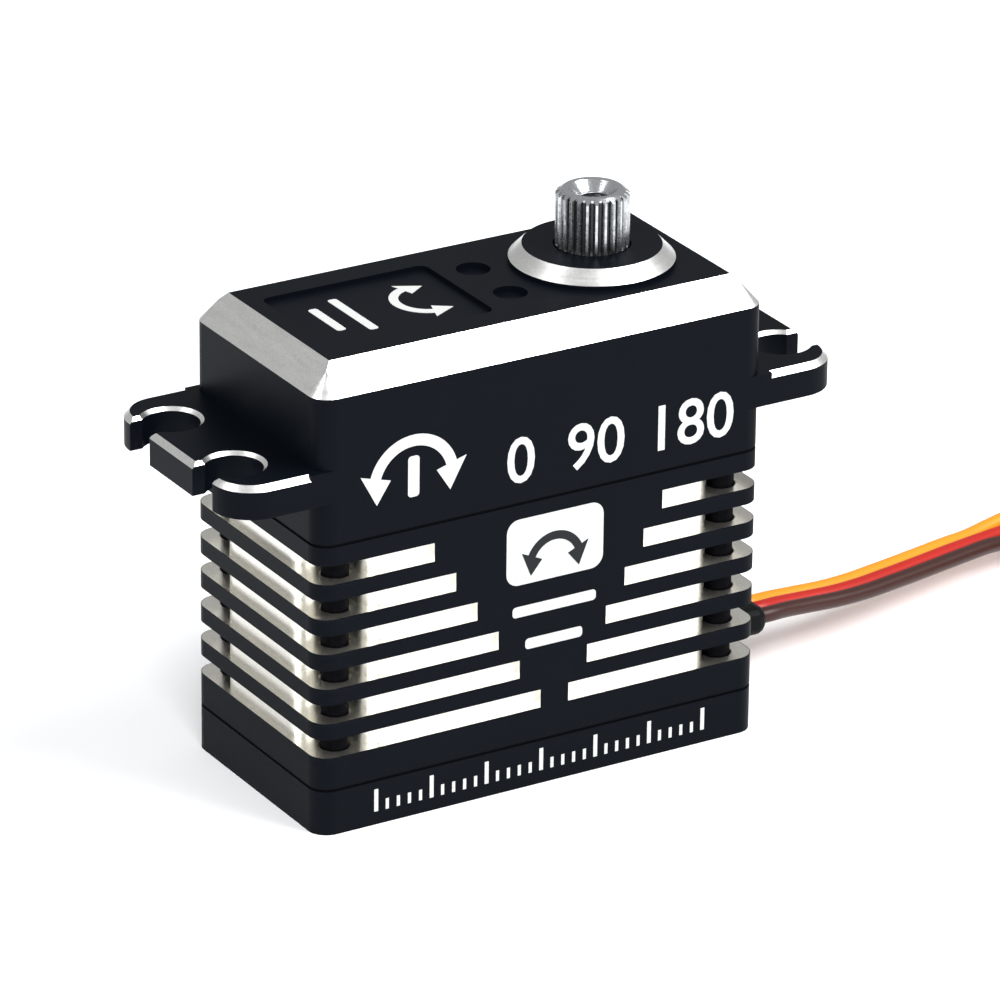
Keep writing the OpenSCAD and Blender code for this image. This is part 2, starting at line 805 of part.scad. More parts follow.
module cable_grommet() {
    inner = core_x - core_wall;
    color("#0c0c0c") {
        translate([inner, 0, grommet_z]) rotate([90, 0, 90])
            linear_extrude(grommet_tip - grommet_round - inner) grommet_2d(grommet_w);
        translate([grommet_tip - grommet_round, 0, grommet_z]) rotate([90, 0, 90])
            linear_extrude(grommet_round)
                round_rect(grommet_w / 2 - 0.35, grommet_h / 2 - 0.35, grommet_r - 0.35);
        translate([inner - 0.8, 0, grommet_z]) rotate([90, 0, 90])
            linear_extrude(0.8) grommet_2d(flange_w);
    }
}

module lead_stubs() {
    start = core_x - core_wall - 0.8;
    color("#a05030") for (i = [-1, 0, 1]) translate([start - 4, i * wire_d, grommet_z])
        rotate([0, 90, 0]) cylinder(r = 0.5, h = 4);
}

// Route of one wire beside the middle of the ribbon: k is 1 for signal, 0 for power, -1 for ground
function unit(v) = v / norm(v);
function heading(p, i) = unit(p[min(i + 1, len(p) - 1)] - p[max(i - 1, 0)]);
function leftward(t) = unit([-t[1], t[0], 0]);
function wire_route(p, turn, spread, k) = [for (i = [0:len(p) - 1])
    let (t = heading(p, i), left = leftward(t), up = cross(t, left))
    p[i] + k * wire_d * spread[i] * (cos(turn[i]) * left + sin(turn[i]) * up)];

module swept(p, d, sides = 8) {
    n = len(p);
    rings = [for (i = [0:n - 1])
        let (t = heading(p, i), left = leftward(t), up = cross(t, left))
        for (j = [0:sides - 1]) let (a = 360 * (j + 0.5) / sides)
            p[i] + d / 2 * (cos(a) * left + sin(a) * up)];
    walls = [for (i = [0:n - 2], j = [0:sides - 1]) let (k = (j + 1) % sides)
        [i * sides + j, (i + 1) * sides + j, (i + 1) * sides + k, i * sides + k]];
    ends = [[for (j = [0:sides - 1]) j], [for (j = [sides - 1:-1:0]) (n - 1) * sides + j]];
    polyhedron(rings, concat(walls, ends), convexity = 10);
}

LEAD_SPREAD = [for (p = LEAD) 1];
module wire_run(k) { swept(wire_route(LEAD, LEAD_TURN, LEAD_SPREAD, k), wire_d); }
module wire_tail(k) { swept(wire_route(TAIL, TAIL_TURN, TAIL_SPREAD, k), wire_d); }
module wire_coil(k) {
    translate([coil_at[0], coil_at[1], coil_z + (1 + k) * wire_d])
        tube(coil_out + wire_d / 2, coil_in - wire_d / 2, wire_d);
}

module signal_wire() { color("orange") wire_run(1); }
module power_wire() { color("red") wire_run(0); }
module ground_wire() { color("#4a2a22") wire_run(-1); }
module signal_coil() { color("orange") wire_coil(1); }
module power_coil() { color("red") wire_coil(0); }
module ground_coil() { color("#4a2a22") wire_coil(-1); }
module signal_tail() { color("orange") wire_tail(1); }
module power_tail() { color("red") wire_tail(0); }
module ground_tail() { color("#4a2a22") wire_tail(-1); }

// Band round the turns, on the side away from the plug; the coil lies on its underside
module coil_tie() {
    low = coil_in - wire_d / 2;
    high = coil_out + wire_d / 2;
    color("#151515") translate([coil_at[0], coil_at[1], 0]) rotate([0, 0, 150])
        difference() {
            box([low - coil_z, -tie_w / 2, 0], [high + coil_z, tie_w / 2, coil_h + 2 * coil_z]);
            tube(high, low, coil_h, coil_z);
        }
}

module plug_housing() {
    color("#0e0e0e") translate([plug_end - plug_l, plug_y, plug_z]) difference() {
        box([0, -plug_w / 2, 0], [plug_l, plug_w / 2, plug_h]);
        for (i = [-1, 0, 1]) translate([0, i * plug_pitch, plug_h / 2]) {
            box([-1, -0.7, -0.6], [plug_l - 2, 0.7, 0.6]);
        }
    }
}

module plug_contacts() {
    color("gold") translate([plug_end - plug_l, plug_y, plug_z + plug_h / 2])
        for (i = [-1, 0, 1]) translate([0, i * plug_pitch, 0]) difference() {
            box([1.5, -0.7, -0.6], [plug_l - 2, 0.7, 0.6]);
            box([1, -contact_w / 2, -contact_w / 2], [plug_l - 5, contact_w / 2, contact_w / 2]);
        }
}

upper_case();
middle_case();
bottom_cover();
upper_gasket();
lower_gasket();
case_screws();
output_shaft();
output_gear();
shaft_seal();
upper_bearing_outer();
upper_bearing_inner();
upper_bearing_balls();
lower_bearing_outer();
lower_bearing_inner();
lower_bearing_balls();
gear_pin_rear();
gear_pin_front();
first_gear();
second_gear();
third_gear();
motor_pinion();
motor_shaft();
motor_can();
motor_front_bell();
motor_rear_bell();
stator_core();
stator_coils();
rotor_magnet();
motor_front_bearing();
motor_rear_bearing();
motor_screws();
motor_terminals();
sensor_housing();
sensor_wiper();
sensor_terminals();
main_board();
driver_chips();
control_chip();
capacitor();
lead_stubs();
cable_grommet();
signal_wire();
power_wire();
ground_wire();
signal_coil();
power_coil();
ground_coil();
signal_tail();
power_tail();
ground_tail();
coil_tie();
plug_housing();
plug_contacts();
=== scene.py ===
"""Gives a finned metal-cased servo motor its look, on the fixed frame of its CAD model.

Lengths are in metres in Blender; sizes named in millimetres are turned into metres where used.
"""

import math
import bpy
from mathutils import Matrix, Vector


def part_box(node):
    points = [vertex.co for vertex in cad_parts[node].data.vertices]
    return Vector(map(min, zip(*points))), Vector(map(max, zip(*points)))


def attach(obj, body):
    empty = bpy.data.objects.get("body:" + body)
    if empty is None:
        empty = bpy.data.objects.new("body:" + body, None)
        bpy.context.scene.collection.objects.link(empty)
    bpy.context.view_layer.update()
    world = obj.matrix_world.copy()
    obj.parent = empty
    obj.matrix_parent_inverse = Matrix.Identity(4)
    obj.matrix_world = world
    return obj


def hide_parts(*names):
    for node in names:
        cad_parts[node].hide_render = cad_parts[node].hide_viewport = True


bl_info = {
    "name": "Finned Servo Motor",
    "version": (1, 0, 0),
    "blender": (4, 5, 0),
    "location": "3D View > Sidebar > Servo",
    "description": "Finishes, prints and wires a metal-cased servo motor",
    "category": "Object",
}

import bmesh
import bpy
from mathutils import Matrix, Vector
from mathutils.geometry import tessellate_polygon

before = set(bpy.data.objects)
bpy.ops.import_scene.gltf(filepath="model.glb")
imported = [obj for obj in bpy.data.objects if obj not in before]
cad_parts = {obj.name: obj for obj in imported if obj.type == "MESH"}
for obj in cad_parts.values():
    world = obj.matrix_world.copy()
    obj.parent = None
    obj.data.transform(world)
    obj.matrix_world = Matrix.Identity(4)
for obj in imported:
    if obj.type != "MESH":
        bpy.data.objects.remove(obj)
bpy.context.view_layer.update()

MM = 0.001


def box_mm(node):
    """A CAD node's lowest and highest corners in millimetres."""
    low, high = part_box(node)
    return Vector(low) / MM, Vector(high) / MM


# Places taken from the frame, in millimetres
CASE_LOW, _ = box_mm("bottom_cover")
_, UPPER_HIGH = box_mm("upper_case")
MIDDLE_LOW, MIDDLE_HIGH = box_mm("middle_case")
SHAFT_LOW, SHAFT_HIGH = box_mm("output_shaft")
GROMMET_LOW, GROMMET_HIGH = box_mm("cable_grommet")
PLUG_LOW, PLUG_HIGH = box_mm("plug_housing")
HALF_L = -CASE_LOW.x
HALF_W = -CASE_LOW.y
SHAFT_X = (SHAFT_LOW.x + SHAFT_HIGH.x) / 2
BOSS_TOP = UPPER_HIGH.z
BOSS_H = 1.4
TOP_Z = BOSS_TOP - BOSS_H
CORNER_R = 1.6
LABEL_DEPTH = 0.35
LABEL_X = (-16.6, -1.9)
SPLINE_R = 2.95
HORN_HOLE_R = 1.25
WIRE_D = 1.3


# ---------------------------------------------------------------- settings


class ServoFinishSettings(bpy.types.PropertyGroup):
    """Colours and grain of the case and the drive."""

    anodised: bpy.props.FloatVectorProperty(
        name="Anodised colour",
        description="Colour of the black anodised faces",
        subtype="COLOR",
        size=3,
        default=(0.0022, 0.0034, 0.0056),
    )
    machined: bpy.props.FloatVectorProperty(
        name="Machined colour",
        description="Colour of the bare aluminium in the slots and on the bevels",
        subtype="COLOR",
        size=3,
        default=(0.86, 0.86, 0.85),
    )
    steel: bpy.props.FloatVectorProperty(
        name="Steel colour",
        description="Colour of the splined shaft and the gears",
        subtype="COLOR",
        size=3,
        default=(0.6, 0.62, 0.64),
    )
    grain: bpy.props.FloatProperty(
        name="Grain",
        description="Size of the bead-blasted grain under the anodising",
        subtype="DISTANCE",
        unit="LENGTH",
        default=0.00018,
        min=0.00005,
        max=0.001,
    )


class ServoPrintSettings(bpy.types.PropertyGroup):
    """Ink of the marks on the case."""

    ink: bpy.props.FloatVectorProperty(
        name="Ink colour",
        description="Colour of the printed marks",
        subtype="COLOR",
        size=3,
        default=(0.5, 0.52, 0.51),
    )
    thickness: bpy.props.FloatProperty(
        name="Ink thickness",
        description="How far the printed marks stand proud of the case",
        subtype="DISTANCE",
        unit="LENGTH",
        default=0.00003,
        min=0.00001,
        max=0.0001,
    )


class ServoLeadSettings(bpy.types.PropertyGroup):
    """Wires of the lead."""

    diameter: bpy.props.FloatProperty(
        name="Wire diameter",
        description="Outside diameter of one insulated wire",
        subtype="DISTANCE",
        unit="LENGTH",
        default=WIRE_D * MM,
        min=0.001,
        max=0.0014,
    )
    length: bpy.props.FloatProperty(
        name="Lead length",
        description="Real length of the lead from the grommet to the plug",
        subtype="DISTANCE",
        unit="LENGTH",
        default=0.3,
        min=0.27,
        max=0.33,
    )
    signal: bpy.props.FloatVectorProperty(
        name="Signal wire",
        description="Colour of the signal wire's insulation",
        subtype="COLOR",
        size=3,
        default=(0.86, 0.27, 0.012),
    )
    power: bpy.props.FloatVectorProperty(
        name="Power wire",
        description="Colour of the power wire's insulation",
        subtype="COLOR",
        size=3,
        default=(0.42, 0.014, 0.008),
    )
    ground: bpy.props.FloatVectorProperty(
        name="Ground wire",
        description="Colour of the ground wire's insulation",
        subtype="COLOR",
        size=3,
        default=(0.04, 0.0135, 0.0105),
    )


class ServoStageSettings(bpy.types.PropertyGroup):
    """Floor, lights and camera."""

    floor: bpy.props.FloatVectorProperty(
        name="Floor colour",
        description="Colour of the plain floor",
        subtype="COLOR",
        size=3,
        default=(0.93, 0.94, 0.95),
    )
    light: bpy.props.FloatProperty(
        name="Light",
        description="Strength of all the soft lights together",
        default=1.0,
        min=0.1,
        max=5.0,
    )
    lens: bpy.props.FloatProperty(
        name="Focal length",
        description="Focal length of the camera in millimetres, on a 36 mm sensor",
        default=268.74,
        min=50.0,
        max=400.0,
    )


def settings(part):
    """The property group that the scene keeps for one part of the work."""
    return getattr(bpy.context.scene, "servo_" + part)


# ---------------------------------------------------------------- shader maths


class Value:
    """A number that changes over a surface. Arithmetic on it adds Math nodes."""

    def __init__(self, finish, socket):
        self.finish = finish
        self.socket = socket

    def _math(self, operation, *terms):
        node = self.finish.tree.nodes.new("ShaderNodeMath")
        node.operation = operation
        for slot, term in zip(node.inputs, terms):
            self.finish.feed(slot, term)
        return Value(self.finish, node.outputs[0])

    def __add__(self, other):
        return self._math("ADD", self, other)

    def __radd__(self, other):
        return self._math("ADD", other, self)

    def __sub__(self, other):
        return self._math("SUBTRACT", self, other)

    def __rsub__(self, other):
        return self._math("SUBTRACT", other, self)

    def __mul__(self, other):
        return self._math("MULTIPLY", self, other)

    def __rmul__(self, other):
        return self._math("MULTIPLY", other, self)

    def __truediv__(self, other):
        return self._math("DIVIDE", self, other)

    def __gt__(self, other):
        return self._math("GREATER_THAN", self, other)

    def __lt__(self, other):
        return self._math("LESS_THAN", self, other)

    def __abs__(self):
        return self._math("ABSOLUTE", self)

    def root(self):
        return self._math("SQRT", self)

    def sine(self):
        return self._math("SINE", self)

    def most(self, other):
        return self._math("MAXIMUM", self, other)

    def least(self, other):
        return self._math("MINIMUM", self, other)

    def ramp(self, low, high):
        """0 below low, 1 above high and smooth between."""
        return self.finish.node(
            "ShaderNodeMapRange",
            {"interpolation_type": "SMOOTHSTEP"},
            Value=self,
            From_Min=low,
            From_Max=high,
        )


class Finish:
    """One procedural material on a Principled shader."""

    def __init__(self, name, **constants):
        self.material = bpy.data.materials.new(name)
        self.material.use_nodes = True
        self.tree = self.material.node_tree
        self.tree.nodes.clear()
        self.shader = self.tree.nodes.new("ShaderNodeBsdfPrincipled")
        output = self.tree.nodes.new("ShaderNodeOutputMaterial")
        self.tree.links.new(self.shader.outputs[0], output.inputs[0])
        self.set(**constants)

    def feed(self, slot, term):
        """Puts a value, or a link, into one socket."""
        if isinstance(term, Value):
            self.tree.links.new(term.socket, slot)
        elif slot.type == "RGBA" and len(term) == 3:
            slot.default_value = (*term, 1.0)
        else:
            slot.default_value = term

    def set(self, **sockets):
        """Feeds sockets of the shader, named with underscores for spaces."""
        for name, term in sockets.items():
            self.feed(self.shader.inputs[name.replace("_", " ")], term)
        return self

    def node(self, kind, options=None, output=0, **sockets):
        """Adds a node: its options first, then its sockets; gives one of its outputs."""
        node = self.tree.nodes.new(kind)
        for name, option in (options or {}).items():
            setattr(node, name, option)
        for name, term in sockets.items():
            self.feed(node.inputs[name.replace("_", " ")], term)
        return Value(self, node.outputs[output])

    def place(self):
        """The surface point in millimetres, as three values."""
        point = self.node("ShaderNodeTexCoord", output="Object")
        return [
            self.node("ShaderNodeSeparateXYZ", output=i, Vector=point) * (1 / MM)
            for i in range(3)
        ]

    def slope(self):
        """The upward part of the true face normal."""
        normal = self.node("ShaderNodeNewGeometry", output="True Normal")
        return self.node("ShaderNodeSeparateXYZ", output=2, Vector=normal)

    def noise(self, size, detail=2.0, stretch=(1, 1, 1)):
        """Noise whose features are about one size, in metres."""
        point = self.node("ShaderNodeTexCoord", output="Object")
        point = self.node("ShaderNodeMapping", Vector=point, Scale=stretch)
        return self.node(
            "ShaderNodeTexNoise", Vector=point, Scale=1 / size, Detail=detail
        )

    def mix(self, factor, first, second):
        """Blends two colours."""
        node = self.tree.nodes.new("ShaderNodeMix")
        node.data_type = "RGBA"
        self.feed(node.inputs[0], factor)
        self.feed(node.inputs[6], first)
        self.feed(node.inputs[7], second)
        return Value(self, node.outputs[2])

    def bump(self, height, strength, distance):
        """Feeds the shader's Normal from a height between 0 and 1."""
        normal = self.node(
            "ShaderNodeBump", Height=height, Strength=strength, Distance=distance
        )
        return self.set(Normal=normal)


def blend(low, high, mask):
    """A number that is low where the mask is 0 and high where it is 1."""
    return low + mask * (high - low)


# ---------------------------------------------------------------- finishes


def case_finish(name, bright, tint=(1.0, 1.0, 1.0)):
    """Black anodising, with bare machined aluminium where bright() says so."""
    look = settings("finish")
    metal = tuple(a * b for a, b in zip(look.machined, tint))
    finish = Finish(name, Specular_IOR_Level=0.04)
    mask = bright(finish)
    grain = finish.noise(look.grain, detail=3.0)
    cloud = finish.noise(0.006, detail=2.0)
    streak = finish.noise(0.0004, detail=2.0, stretch=(0.12, 0.12, 1.6))
    black = finish.mix(grain, tuple(0.75 * c for c in look.anodised), look.anodised)
    black = finish.mix(cloud * 0.3, black, tuple(1.5 * c for c in look.anodised))
    bare = finish.mix(grain.ramp(0.3, 0.7), tuple(0.88 * c for c in metal), metal)
    finish.set(
        Base_Color=finish.mix(mask, black, bare),
        Metallic=mask,
        Roughness=blend(0.36 + 0.12 * grain, 0.24 + 0.16 * streak, mask),
    )
    finish.bump(grain + 0.5 * streak * mask, 0.3, 0.00002)
    return finish.material


def bevel_mask(finish):
    """Slanted faces: the top bevel, the boss's bevel and the chamfers of the ears."""
    slope = finish.slope()
    return (slope > 0.2) * (slope < 0.97)


def slot_mask(finish):
    """Everything more than a hair inside the outline, but for the grooves at the gaskets."""
    x, y, z = finish.place()
    dx = (abs(x) - (HALF_L - CORNER_R)).most(0.0)
    dy = (abs(y) - (HALF_W - CORNER_R)).most(0.0)
    reach = (dx * dx + dy * dy).root()
    between = (z > MIDDLE_LOW.z + 0.5) * (z < MIDDLE_HIGH.z - 0.5)
    return (reach < CORNER_R - 0.05) * between


def no_mask(finish):
    """Nothing is bare: a mask of 0 all over."""
    x, _, _ = finish.place()
    return x > 1000.0


def metal_finish(name, colour, rough=0.28, grain=0.0003, lines=(1, 1, 1), dark=0.8):
    """Ground or rolled metal with fine lines and a little tarnish."""
    finish = Finish(name, Metallic=1.0)
    fine = finish.noise(grain, detail=3.0, stretch=lines)
    cloud = finish.noise(grain * 14, detail=2.0)
    shade = (0.6 * fine + 0.4 * cloud).ramp(0.3, 0.7)
    finish.set(
        Base_Color=finish.mix(shade, tuple(dark * c for c in colour), tuple(colour)),
        Roughness=rough + 0.14 * fine,
    )
    finish.bump(fine, 0.2, 0.00002)
    return finish.material


def moulded_finish(name, colour, rough=0.5, grain=0.0004, spec=0.4, mottle=0.8):
    """Moulded plastic or rubber with a fine eroded texture."""
    finish = Finish(name, Specular_IOR_Level=spec)
    fine = finish.noise(grain, detail=2.0)
    cloud = finish.noise(grain * 16, detail=2.0)
    finish.set(
        Base_Color=finish.mix(cloud, tuple(mottle * c for c in colour), tuple(colour)),
        Roughness=rough + 0.12 * fine,
    )
    finish.bump(fine, 0.25, 0.00004)
    return finish.material


def shaft_finish():
    """Ground steel, with painted shade in the grooves of the spline and at its foot by the boss,
    real stains here and there, and turned rings on top.
    """
    look = settings("finish")
    finish = Finish("splined_steel", Metallic=1.0)
    x, y, z = finish.place()
    across = x - SHAFT_X
    radius = (across * across + y * y).root()
    # Painted shade: darkens the bottoms of the spline's grooves.
    groove_shade = 1 - radius.ramp(SPLINE_R - 0.32, SPLINE_R - 0.12)
    on_spline = (z > BOSS_TOP) * (radius > 2.2) * (z < SHAFT_HIGH.z - 0.3)
    rings = (radius * 70.0).sine() * 0.5 + 0.5
    fine = finish.noise(0.0002, detail=3.0)
    stain = finish.noise(0.0006, detail=3.0).ramp(0.42, 0.62)
    # Painted shade at the foot of the spline, darkest where it meets the boss.
    foot_shade = (1 - z.ramp(BOSS_TOP, BOSS_TOP + 1.3)) * on_spline
    # Real stains from noise, together with the painted shade at the foot.
    stain_and_foot_shade = (0.3 * stain * on_spline).most(foot_shade * (0.5 + 0.5 * stain))
    # The painted shade of the grooves and the foot, with the stains: darkens the steel's colour
    # and roughens it.
    stain_and_painted_shade = (groove_shade * on_spline).most(stain_and_foot_shade).least(1.0)
    steel = finish.mix(fine, tuple(0.8 * c for c in look.steel), look.steel)
    finish.set(
        Base_Color=finish.mix(stain_and_painted_shade, steel, tuple(0.09 * c for c in look.steel)),
        Roughness=0.16 + 0.12 * fine + 0.24 * stain_and_painted_shade,
    )
    finish.bump(0.5 * rings + 0.5 * fine, 0.25, 0.00003)
    return finish.material


def board_finish():
    """Green solder mask with copper tracks showing through it."""
    finish = Finish("solder_mask", Specular_IOR_Level=0.5)
    x, y, _ = finish.place()
    tracks = ((x * 5.0 + (y * 2.2).sine() * 2.0).sine()).ramp(0.55, 0.7)
    fine = finish.noise(0.0003)
    colour = finish.mix(tracks, (0.012, 0.09, 0.04), (0.03, 0.16, 0.06))
    finish.set(Base_Color=colour, Roughness=0.25 + 0.15 * fine)
    finish.bump(tracks, 0.3, 0.00003)
    return finish.material


def winding_finish():
    """Enamelled copper wire laid in turns, with painted shade between the turns and a painted
    highlight on each.
    """
    finish = Finish("copper_winding", Metallic=0.9, Coat_Weight=0.6)
    _, _, z = finish.place()
    turns = (z * 21.0).sine() * 0.5 + 0.5
    # Painted shade and highlight: darker in the valleys between turns, lighter on their crowns.
    colour = finish.mix(turns, (0.32, 0.1, 0.03), (0.72, 0.3, 0.12))
    finish.set(Base_Color=colour, Roughness=0.3 + 0.1 * turns)
    finish.bump(turns, 0.8, 0.0001)
    return finish.material


def stack_finish():
    """Punched laminations, one on another."""
    finish = Finish("laminations", Metallic=1.0)
    _, _, z = finish.place()
    sheets = (z * 18.0).sine().ramp(-0.2, 0.4)
    fine = finish.noise(0.0003)
    colour = finish.mix(sheets, (0.1, 0.1, 0.11), (0.34, 0.35, 0.37))
    finish.set(Base_Color=colour, Roughness=0.35 + 0.2 * fine)
    finish.bump(sheets, 0.5, 0.00005)
    return finish.material


def ink_finish(name, colour):
    """Screen-printed ink, thin over the grain of the case."""
    finish = Finish(name, Specular_IOR_Level=0.2)
    fine = finish.noise(0.00012, detail=3.0)
    gaps = fine.ramp(0.6, 0.74)
    finish.set(
        Base_Color=finish.mix(gaps, colour, tuple(0.55 * c for c in colour)),
        Roughness=0.55 + 0.2 * fine,
    )
    finish.bump(fine, 0.3, 0.00001)
    return finish.material


def wire_finish(name, colour):
    """Satin insulation with faint rings of handling wear."""
    finish = Finish(name, Specular_IOR_Level=0.25, Coat_Weight=0.04, Coat_Roughness=0.3)
    fine = finish.noise(0.0004, detail=2.0)
    cloud = finish.noise(0.005, detail=2.0)
    finish.set(
        Base_Color=finish.mix(cloud, tuple(0.82 * c for c in colour), colour),
        Roughness=0.32 + 0.14 * fine,
    )
    finish.bump(fine, 0.2, 0.00002)
    return finish.material


def dress(material, *nodes):
    """Gives CAD nodes one material."""
    for name in nodes:
        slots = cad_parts[name].material_slots
        if not slots:
            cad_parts[name].data.materials.append(material)
        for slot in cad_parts[name].material_slots:
            slot.material = material


# ---------------------------------------------------------------- mesh helpers


def add_piece(name, mesh, material, body="case"):
    """Puts a finished mesh in the scene as a piece that rides on a body."""
    piece = bpy.data.objects.new(name, mesh)
    bpy.context.scene.collection.objects.link(piece)
    if material is not None:
        mesh.materials.clear()
        mesh.materials.append(material)
    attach(piece, body)
    return piece


def from_bmesh(name, shape, smooth=False):
    """A mesh from a bmesh, with its normals outwards."""
    bmesh.ops.remove_doubles(shape, verts=shape.verts, dist=1e-7)
    bmesh.ops.recalc_face_normals(shape, faces=shape.faces)
    mesh = bpy.data.meshes.new(name)
    shape.to_mesh(mesh)
    shape.free()
    for face in mesh.polygons:
        face.use_smooth = smooth
    return mesh


def bar(x0, y0, x1, y1, r=0.0, steps=6):
    """Outline of a rectangle with round corners."""
    if r <= 0:
        return [(x0, y0), (x1, y0), (x1, y1), (x0, y1)]
    points = []
    for cx, cy, start in (
        (x1 - r, y0 + r, -90),
        (x1 - r, y1 - r, 0),
        (x0 + r, y1 - r, 90),
        (x0 + r, y0 + r, 180),
    ):
        for i in range(steps + 1):
            a = math.radians(start + 90 * i / steps)
            points.append((cx + r * math.cos(a), cy + r * math.sin(a)))
    return points


def arc(cx, cy, r_out, r_in, start, end, steps=28):
    """Outline of part of a flat ring, between two angles in degrees."""
    turn = [math.radians(start + (end - start) * i / steps) for i in range(steps + 1)]
    outer = [(cx + r_out * math.cos(a), cy + r_out * math.sin(a)) for a in turn]
    inner = [(cx + r_in * math.cos(a), cy + r_in * math.sin(a)) for a in turn]
    return outer + inner[::-1]


def arrowhead(cx, cy, r, width, length, angle, turning):
    """Triangle on a circle, pointing the way round that turning says (1 or -1)."""
    a = math.radians(angle)
    b = math.radians(angle + turning * math.degrees(length / r))
    tip = (cx + r * math.cos(b), cy + r * math.sin(b))
    return [
        (cx + (r + width / 2) * math.cos(a), cy + (r + width / 2) * math.sin(a)),
        tip,
        (cx + (r - width / 2) * math.cos(a), cy + (r - width / 2) * math.sin(a)),
    ]


def turn_sign(cx, cy, r, thick, spread):
    """Arc with an arrowhead at each end: the shaft turns both ways."""
    low, high = 90 - spread, 90 + spread
    return [
        arc(cx, cy, r + thick / 2, r - thick / 2, low, high),
        arrowhead(cx, cy, r, 2.9 * thick, 2.4 * thick, high, 1),
        arrowhead(cx, cy, r, 2.9 * thick, 2.4 * thick, low, -1),
    ]


class Sheet:
    """A flat place on the case that takes ink: an origin and two directions, in millimetres."""

    def __init__(self, origin, right, up):
        self.origin = Vector(origin)
        self.right = Vector(right)
        self.up = Vector(up)
        self.out = self.right.cross(self.up)

    def at(self, u, v, height=0.0):
        return (self.origin + u * self.right + v * self.up + height * self.out) * MM

    def matrix(self):
        """Turns a flat mesh in millimetres into one that lies on the sheet, in metres."""
        turn = Matrix((self.right, self.up, self.out)).transposed().to_4x4()
        return Matrix.Scale(MM, 4) @ Matrix.Translation(self.origin) @ turn


def add_prism(shape, sheet, outline, low, high):
    """Adds an extruded outline to a bmesh; heights are in millimetres off the sheet."""
    bottom = [shape.verts.new(sheet.at(u, v, low)) for u, v in outline]
    top = [shape.verts.new(sheet.at(u, v, high)) for u, v in outline]
    flat = [Vector((u, v, 0)) for u, v in outline]
    for a, b, c in tessellate_polygon([flat]):
        shape.faces.new((top[a], top[b], top[c]))
        shape.faces.new((bottom[c], bottom[b], bottom[a]))
    for i in range(len(outline)):
        k = (i + 1) % len(outline)
        shape.faces.new((bottom[i], bottom[k], top[k], top[i]))


def add_loft(shape, sections, middle_z, corner):
    """Joins round-cornered rings along X; a section is its x, half width and half height."""
    rings = []
    for x, wide, high in sections:
        r = min(corner, wide, high) * 0.98
        ring = bar(-wide, middle_z - high, wide, middle_z + high, r)
        rings.append([shape.verts.new(Vector((x, y, v)) * MM) for y, v in ring])
    count = len(rings[0])
    for before, after in zip(rings, rings[1:]):
        for i in range(count):
            k = (i + 1) % count
            shape.faces.new((before[i], before[k], after[k], after[i]))
    shape.faces.new(rings[0][::-1])
    shape.faces.new(rings[-1])


def add_numeral(shape, sheet, text, centre, height, low, high):
    """Adds a plain number in Blender's own font, centred on a point of the sheet."""
    curve = bpy.data.curves.new("numeral", "FONT")
    curve.body = text
    curve.align_x = "CENTER"
    curve.align_y = "CENTER"
    curve.size = height / 0.72
    curve.offset = 0.012 * height
    curve.extrude = (high - low) / 2
    curve.resolution_u = 4
    holder = bpy.data.objects.new("numeral", curve)
    bpy.context.scene.collection.objects.link(holder)
    mesh = bpy.data.meshes.new_from_object(
        holder.evaluated_get(bpy.context.evaluated_depsgraph_get())
    )
    move = Matrix.Translation((centre[0], centre[1], (low + high) / 2))
    mesh.transform(sheet.matrix() @ move)
    shape.from_mesh(mesh)
    bpy.data.objects.remove(holder)
    bpy.data.curves.remove(curve)
    bpy.data.meshes.remove(mesh)


def tree_with(name, inputs):
    """A Geometry Nodes tree with a geometry input and output and named inputs."""
    tree = bpy.data.node_groups.new(name, "GeometryNodeTree")
    tree.is_modifier = True
    tree.interface.new_socket("Geometry", in_out="INPUT", socket_type="NodeSocketGeometry")
    tree.interface.new_socket("Geometry", in_out="OUTPUT", socket_type="NodeSocketGeometry")
    for label, kind in inputs:
        tree.interface.new_socket(label, in_out="INPUT", socket_type="NodeSocket" + kind)
    return tree


def row_tree():
    """Equal blocks along a line, such as the marks of a scale or the ribs of a grip."""
    tree = tree_with(
        "block_row",
        [
            ("Count", "Int"),
            ("First", "Vector"),
            ("Step", "Vector"),
            ("Block", "Vector"),
            ("Finish", "Material"),
        ],
    )
    nodes, link = tree.nodes, tree.links.new
    given = nodes.new("NodeGroupInput")
    line = nodes.new("GeometryNodeMeshLine")
    block = nodes.new("GeometryNodeMeshCube")
    place = nodes.new("GeometryNodeInstanceOnPoints")
    real = nodes.new("GeometryNodeRealizeInstances")
    paint = nodes.new("GeometryNodeSetMaterial")
    out = nodes.new("NodeGroupOutput")
    link(given.outputs["Count"], line.inputs["Count"])
    link(given.outputs["First"], line.inputs["Start Location"])
    link(given.outputs["Step"], line.inputs["Offset"])
    link(given.outputs["Block"], block.inputs["Size"])
    link(line.outputs["Mesh"], place.inputs["Points"])
    link(block.outputs["Mesh"], place.inputs["Instance"])
    link(place.outputs["Instances"], real.inputs["Geometry"])
    link(real.outputs["Geometry"], paint.inputs["Geometry"])
    link(given.outputs["Finish"], paint.inputs["Material"])
    link(paint.outputs["Geometry"], out.inputs[0])
    return tree


